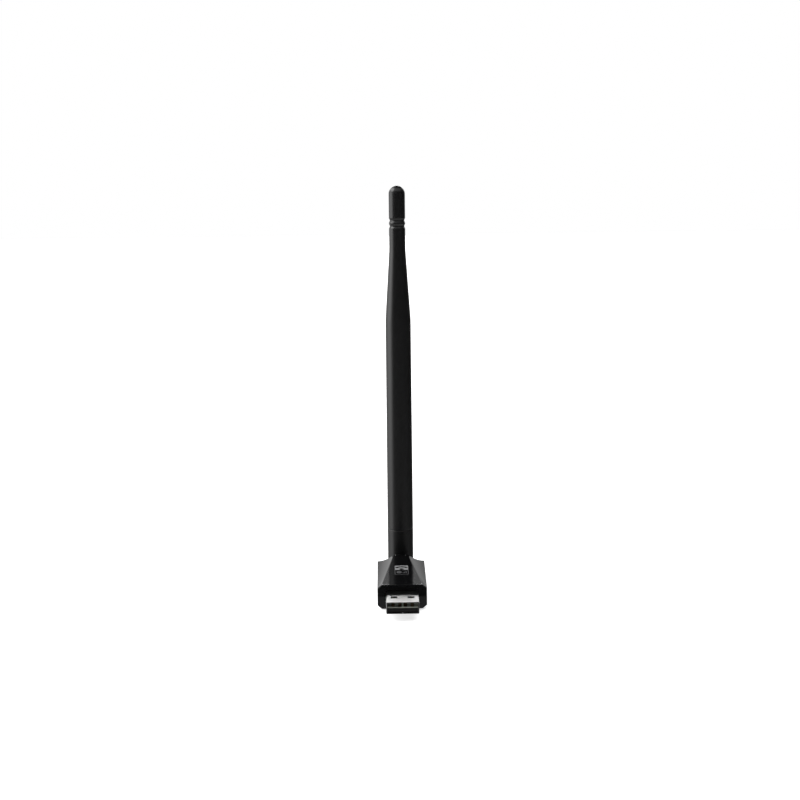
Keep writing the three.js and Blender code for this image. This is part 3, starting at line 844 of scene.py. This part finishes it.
def radome_outline(low_edge):
    """Bottom to tip: a soft lower edge, a long tube, a taper, and near the tip a bead between notches."""
    outline = bend((STOUT - 0.25, RADOME_BOTTOM), (STOUT, RADOME_BOTTOM), (STOUT, low_edge), 5)
    outline += [Vector((lerp(STOUT, WAIST, t), lerp(low_edge, WAIST_Z, t))) for t in spread(0, 1, 12)[1:]]
    outline += bend((WAIST, WAIST_Z), (WAIST - 0.01, WAIST_Z + 1.4), (WAIST - 0.1, WAIST_Z + 2.8), 6)[1:]
    outline += bend((NECK + 0.06, NECK_Z - 1.1), (NECK - 0.01, NECK_Z), (SLIM + 0.015, NECK_Z + 1.4), 6)
    middle, notch, bead, reach = 135.6, 0.33, 1.1, 2.15
    for dz in spread(-reach, reach, 45):
        phase = abs(dz) / bead if abs(dz) < bead else 1 + (abs(dz) - bead) / (reach - bead)
        outline.append(Vector((SLIM - notch * (1 - math.cos(math.pi * phase)) / 2, middle + dz)))
    dome = arc(SLIM, 0, 90, 17, (0, RADOME_TOP - SLIM))[:-1]
    return outline + dome + [Vector((0, RADOME_TOP))]


def build_radome():
    wall, bore, bore_low, bore_high = 0.85, 2.1, 125, 144
    low_edge = RADOME_BOTTOM + 0.25
    inside = [(0, RADOME_TOP - 2 * wall), (1.2, RADOME_TOP - 2.2 * wall), (1.9, RADOME_TOP - 3.6 * wall)]
    inside += [(bore, bore_high), (bore, bore_low), (WAIST - wall, WAIST_Z)]
    inside += [(STOUT - wall, low_edge), (STOUT - wall + 0.1, RADOME_BOTTOM)]
    piece = lathe("antenna_radome_skin", inside + radome_outline(low_edge), 128)
    on_antenna(piece, SATIN, "antenna_black", "antenna_radome", angle=50)


def build_sleeve():
    """A thin drawn cup, open at the bottom and closed round the cable at the top."""
    cable, inner, outer, low, cap, high = 0.55, 2.2, 2.5, 34.0, 59.4, 60.0
    loop = [(cable, cap), (inner, cap), (inner, low), (outer, low), (outer, high), (cable, high)]
    sleeve = lathe("brass_sleeve_skin", rounded(loop, [0.05, 0.1, 0.1, 0.1, 0.25, 0.05], 3), 64)
    on_antenna(sleeve, BRASS, "sleeve_brass", "brass_sleeve")


def smooth(t):
    t = min(max(t, 0), 1)
    return t * t * (3 - 2 * t)


def build_radiator():
    """A straight wire with a phasing coil, which it eases into and out of."""
    start, end, coil_start, coil_end = 62.5, 140.9, 90.0, 101.0
    coil_radius, turns, settle, gap = 1.7, 4, 1.2, 0.5
    path = []
    below, above = spread(start, coil_start - gap, 12), spread(coil_end + gap, end, 14)
    for z in below + spread(coil_start, coil_end, 161) + above:
        along = min(max((z - coil_start) / (coil_end - coil_start), 0), 1)
        ease = smooth((z - coil_start) / settle) * smooth((coil_end - z) / settle)
        point = polar(coil_radius * ease, 2 * math.pi * turns * along)
        path.append((point.x, point.y, z))
    wire = tube("radiator_wire_skin", path, 0.45, 16)
    on_antenna(wire, COPPER, "wire_copper", "radiator_wire")


def build_aerial():
    build_sleeve()
    build_radiator()
    cable_low, cable_high = 4.4, 61.9
    cable = tube("antenna_coax_skin", [(0, 0, z) for z in spread(cable_low, cable_high, 24)], CABLE_RADIUS)
    on_antenna(cable, JACKET, "coax_grey", "antenna_coax")
    inner, outer, low, high = 0.6, 3.0, 105.0, 110.0
    ring = rounded([(inner, low), (outer, low), (outer, high), (inner, high)], [0.1, 0.5, 0.5, 0.1], 4)
    on_antenna(lathe("foam_spacer_skin", ring, 64), FOAM, "foam_white", "foam_spacer")


# ---- cables and the board ----
def build_cables():
    start, arch, end = Vector((0, 25.6, 0.5)), Vector((0, 29.0, 1.6)), Vector((0, 31.2, 0))
    lead = tube("coax_lead_skin", bezier(start, arch, end, 24), CABLE_RADIUS)
    place(lead, JACKET, "housing", "coax_grey", replaces=["coax_lead"])
    wrap, straight_start = 2.75, 31.7
    bend_start, bend_corner = PIVOT_Y - wrap - 1.4, PIVOT_Y - wrap - 0.35
    path = [(0, y, 0) for y in spread(straight_start, bend_start, 14)]
    angles = [math.radians(a) for a in spread(22, 63, 12)]
    around = [Vector((0, PIVOT_Y - wrap * math.cos(a), wrap * math.sin(a))) for a in angles]
    path += bezier(Vector((0, bend_start, 0)), Vector((0, bend_corner, 0)), around[0], 8)[1:] + around[1:]
    cable = tube("knuckle_coax_skin", path, CABLE_RADIUS)
    place(cable, JACKET, "knuckle", "coax_grey", replaces=["knuckle_coax"])


def finish_node(name, material, bevel):
    """A CAD node that keeps its shape: its own material, and softened edges."""
    node = frame["nodes"][name]
    node.data.materials.clear()
    node.data.materials.append(material)
    modifier = node.modifiers.new("soften", "BEVEL")
    modifier.width = bevel * MM
    modifier.segments = 2
    modifier.limit_method = "ANGLE"
    modifier.angle_limit = math.radians(40)


def build_board():
    finish_node("circuit_board", BOARD, 0.05)
    finish_node("wifi_chip", CHIP, 0.06)
    finish_node("voltage_regulator", CHIP, 0.08)
    finish_node("power_inductor", FERRITE, 0.15)
    finish_node("crystal", SPRING, 0.2)
    finish_node("rf_filter", CERAMIC, 0.05)
    for i in range(4):
        finish_node(f"capacitor_{i + 1}", CERAMIC, 0.05)


# ---- stage, light and camera ----
def build_floor():
    low = min(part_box("antenna_base")[0].z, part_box("bottom_cover")[0].z)
    half = 3.0
    corners = [(-half, -half, 0), (half, -half, 0), (half, half, 0), (-half, half, 0)]
    floor = make("floor", corners, [(0, 1, 2, 3)])
    floor.location.z = low - 0.2 * MM
    n = Nodes("pale_floor")
    paper = n.mix(n.remap(n.noise(0.02, 2), 0, 1), (0.9, 0.9, 0.9), (0.93, 0.93, 0.93))
    n.link(paper, n.shader.inputs["Base Color"])
    n.link(paper, n.shader.inputs["Emission Color"])
    n.set(Roughness=0.9, Emission_Strength=0.65)
    floor.data.materials.append(n.material)
    floor.visible_glossy = False


class Room:
    """The studio as seen in reflections: brightness as a function of azimuth (0 towards the camera, 90 on
    its left, 180 behind the object) and elevation, both in degrees."""

    def __init__(self, tree):
        self.tree = tree
        direction = self.add("ShaderNodeTexCoord").outputs["Generated"]
        axes = self.add("ShaderNodeSeparateXYZ")
        tree.links.new(direction, axes.inputs["Vector"])
        x, y, z = axes.outputs
        turn_x, turn_y = self.math("MULTIPLY", x, -1), self.math("MULTIPLY", y, -1)
        self.azimuth = self.math("DEGREES", self.math("ARCTAN2", turn_x, turn_y))
        self.round = self.math("ABSOLUTE", self.azimuth)
        self.elevation = self.math("DEGREES", self.math("ARCSINE", z))
        self.total = None

    def add(self, kind, **settings):
        node = self.tree.nodes.new(kind)
        for key, value in settings.items():
            setattr(node, key, value)
        return node

    def math(self, operation, *values):
        node = self.add("ShaderNodeMath", operation=operation)
        for socket, value in zip(node.inputs, values):
            if isinstance(value, (int, float)):
                socket.default_value = value
            else:
                self.tree.links.new(value, socket)
        return node.outputs["Value"]

    def ramp(self, value, low, high):
        node = self.add("ShaderNodeMapRange", interpolation_type="SMOOTHSTEP")
        node.inputs["From Min"].default_value = low
        node.inputs["From Max"].default_value = high
        self.tree.links.new(value, node.inputs["Value"])
        return node.outputs["Result"]

    def window(self, value, edges):
        """Rises between the first two edges and falls between the last two."""
        rise, fall = self.ramp(value, edges[0], edges[1]), self.ramp(value, edges[3], edges[2])
        return self.math("MULTIPLY", rise, fall)

    def glow(self, strength, azimuth=None, elevation=None, either_side=False):
        """Adds a soft-edged patch of light."""
        patch = strength
        if azimuth:
            side = self.round if either_side else self.azimuth
            patch = self.math("MULTIPLY", self.window(side, azimuth), patch)
        if elevation:
            patch = self.math("MULTIPLY", self.window(self.elevation, elevation), patch)
        self.total = patch if self.total is None else self.math("ADD", self.total, patch)


def build_world():
    """The camera sees a plain white studio; reflections see a room with a softbox on the left, a backdrop
    and a narrow bright strip behind, and darkness on the right."""
    world = bpy.data.worlds.new("studio")
    bpy.context.scene.world = world
    world.use_nodes = True
    tree = world.node_tree
    tree.nodes.clear()
    room = Room(tree)
    never = 999
    room.glow(0.015, elevation=(-never, -never + 1, never, never + 1))
    # in front: a dim room, a pale table below and a soft panel above
    room.glow(0.03, azimuth=(-never, -never + 1, 60, 120), elevation=(-90, -35, 20, 40), either_side=True)
    room.glow(0.3, azimuth=(-never, -never + 1, 100, 150), elevation=(-95, -91, -25, -20), either_side=True)
    room.glow(0.55, azimuth=(-never, -never + 1, 80, 130), elevation=(30, 55, 75, 90), either_side=True)
    # the softbox on the left: its lower part fades downwards, and its upper part is brighter
    room.glow(2.0, azimuth=(57, 78, 92, 148), elevation=(-36, 8, 9, 23.5))
    room.glow(3.6, azimuth=(57, 78, 110, 150), elevation=(22, 30, 50, 70))
    # behind: the table's far side, the backdrop and a narrow strip above it
    room.glow(0.3, azimuth=(100, 150, never, never + 1), elevation=(-95, -91, -40, -25), either_side=True)
    room.glow(0.5, azimuth=(120, 150, never, never + 1), elevation=(-60, -30, -4, 2))
    room.glow(0.5, azimuth=(-never, -never + 1, -155, -130), elevation=(-50, -35, -18, -12))
    room.glow(0.4, azimuth=(120, 158, never, never + 1), elevation=(-6, 2, 24, 40), either_side=True)
    room.glow(0.08, azimuth=(100, 150, never, never + 1), elevation=(-6, 0, 6, 16), either_side=True)
    room.glow(0.18, azimuth=(120, 150, 176, 190), elevation=(-6, 0, 8, 20))
    room.glow(6.0, azimuth=(115, 155, never, never + 1), elevation=(21.0, 21.5, 23, 26), either_side=True)
    reflected, seen = room.add("ShaderNodeBackground"), room.add("ShaderNodeBackground")
    tree.links.new(room.total, reflected.inputs["Strength"])
    for node in (reflected, seen):
        node.inputs["Color"].default_value = (1, 1, 1, 1)
    mix, path = room.add("ShaderNodeMixShader"), room.add("ShaderNodeLightPath")
    output = room.add("ShaderNodeOutputWorld")
    tree.links.new(path.outputs["Is Camera Ray"], mix.inputs["Fac"])
    tree.links.new(reflected.outputs["Background"], mix.inputs[1])
    tree.links.new(seen.outputs["Background"], mix.inputs[2])
    tree.links.new(mix.outputs["Shader"], output.inputs["Surface"])


def build_lights():
    """A very wide sun straight above lights the floor evenly and throws only a faint, soft shadow."""
    light = bpy.data.lights.new("overhead", "SUN")
    light.energy = 2.2
    light.angle = math.radians(80)
    lamp = bpy.data.objects.new("overhead", light)
    lamp.visible_glossy = False
    bpy.context.scene.collection.objects.link(lamp)


def build_camera():
    """A short telephoto, a little left of the plug's axis and looking down on it."""
    place_mm, yaw, pitch, roll, lens = (-4.61, -409.7, 155.2), -0.636, -10.69, -0.62, 52.2
    yaw, pitch, roll = (math.radians(a) for a in (yaw, pitch, roll))
    ahead = Vector((-math.sin(yaw) * math.cos(pitch), math.cos(yaw) * math.cos(pitch), math.sin(pitch)))
    level = Vector((math.cos(yaw), math.sin(yaw), 0))
    upright = level.cross(ahead)
    right = level * math.cos(roll) + upright * math.sin(roll)
    up = right.cross(ahead)
    camera = bpy.data.objects.new("camera", bpy.data.cameras.new("camera"))
    camera.data.lens = lens
    camera.data.sensor_width = 36
    camera.data.clip_start = 0.01
    turned = Matrix((right, up, -ahead)).transposed().to_4x4()
    camera.matrix_world = Matrix.Translation(Vector(place_mm) * MM) @ turned
    bpy.context.scene.collection.objects.link(camera)
    bpy.context.scene.camera = camera


build_housing()
build_badge()
build_plug_shell()
build_tongue()
build_contacts()
build_knuckle()
build_base()
build_pin()
build_radome()
build_aerial()
build_cables()
build_board()
build_floor()
build_world()
build_lights()
build_camera()
bpy.context.scene.view_settings.view_transform = "Standard"
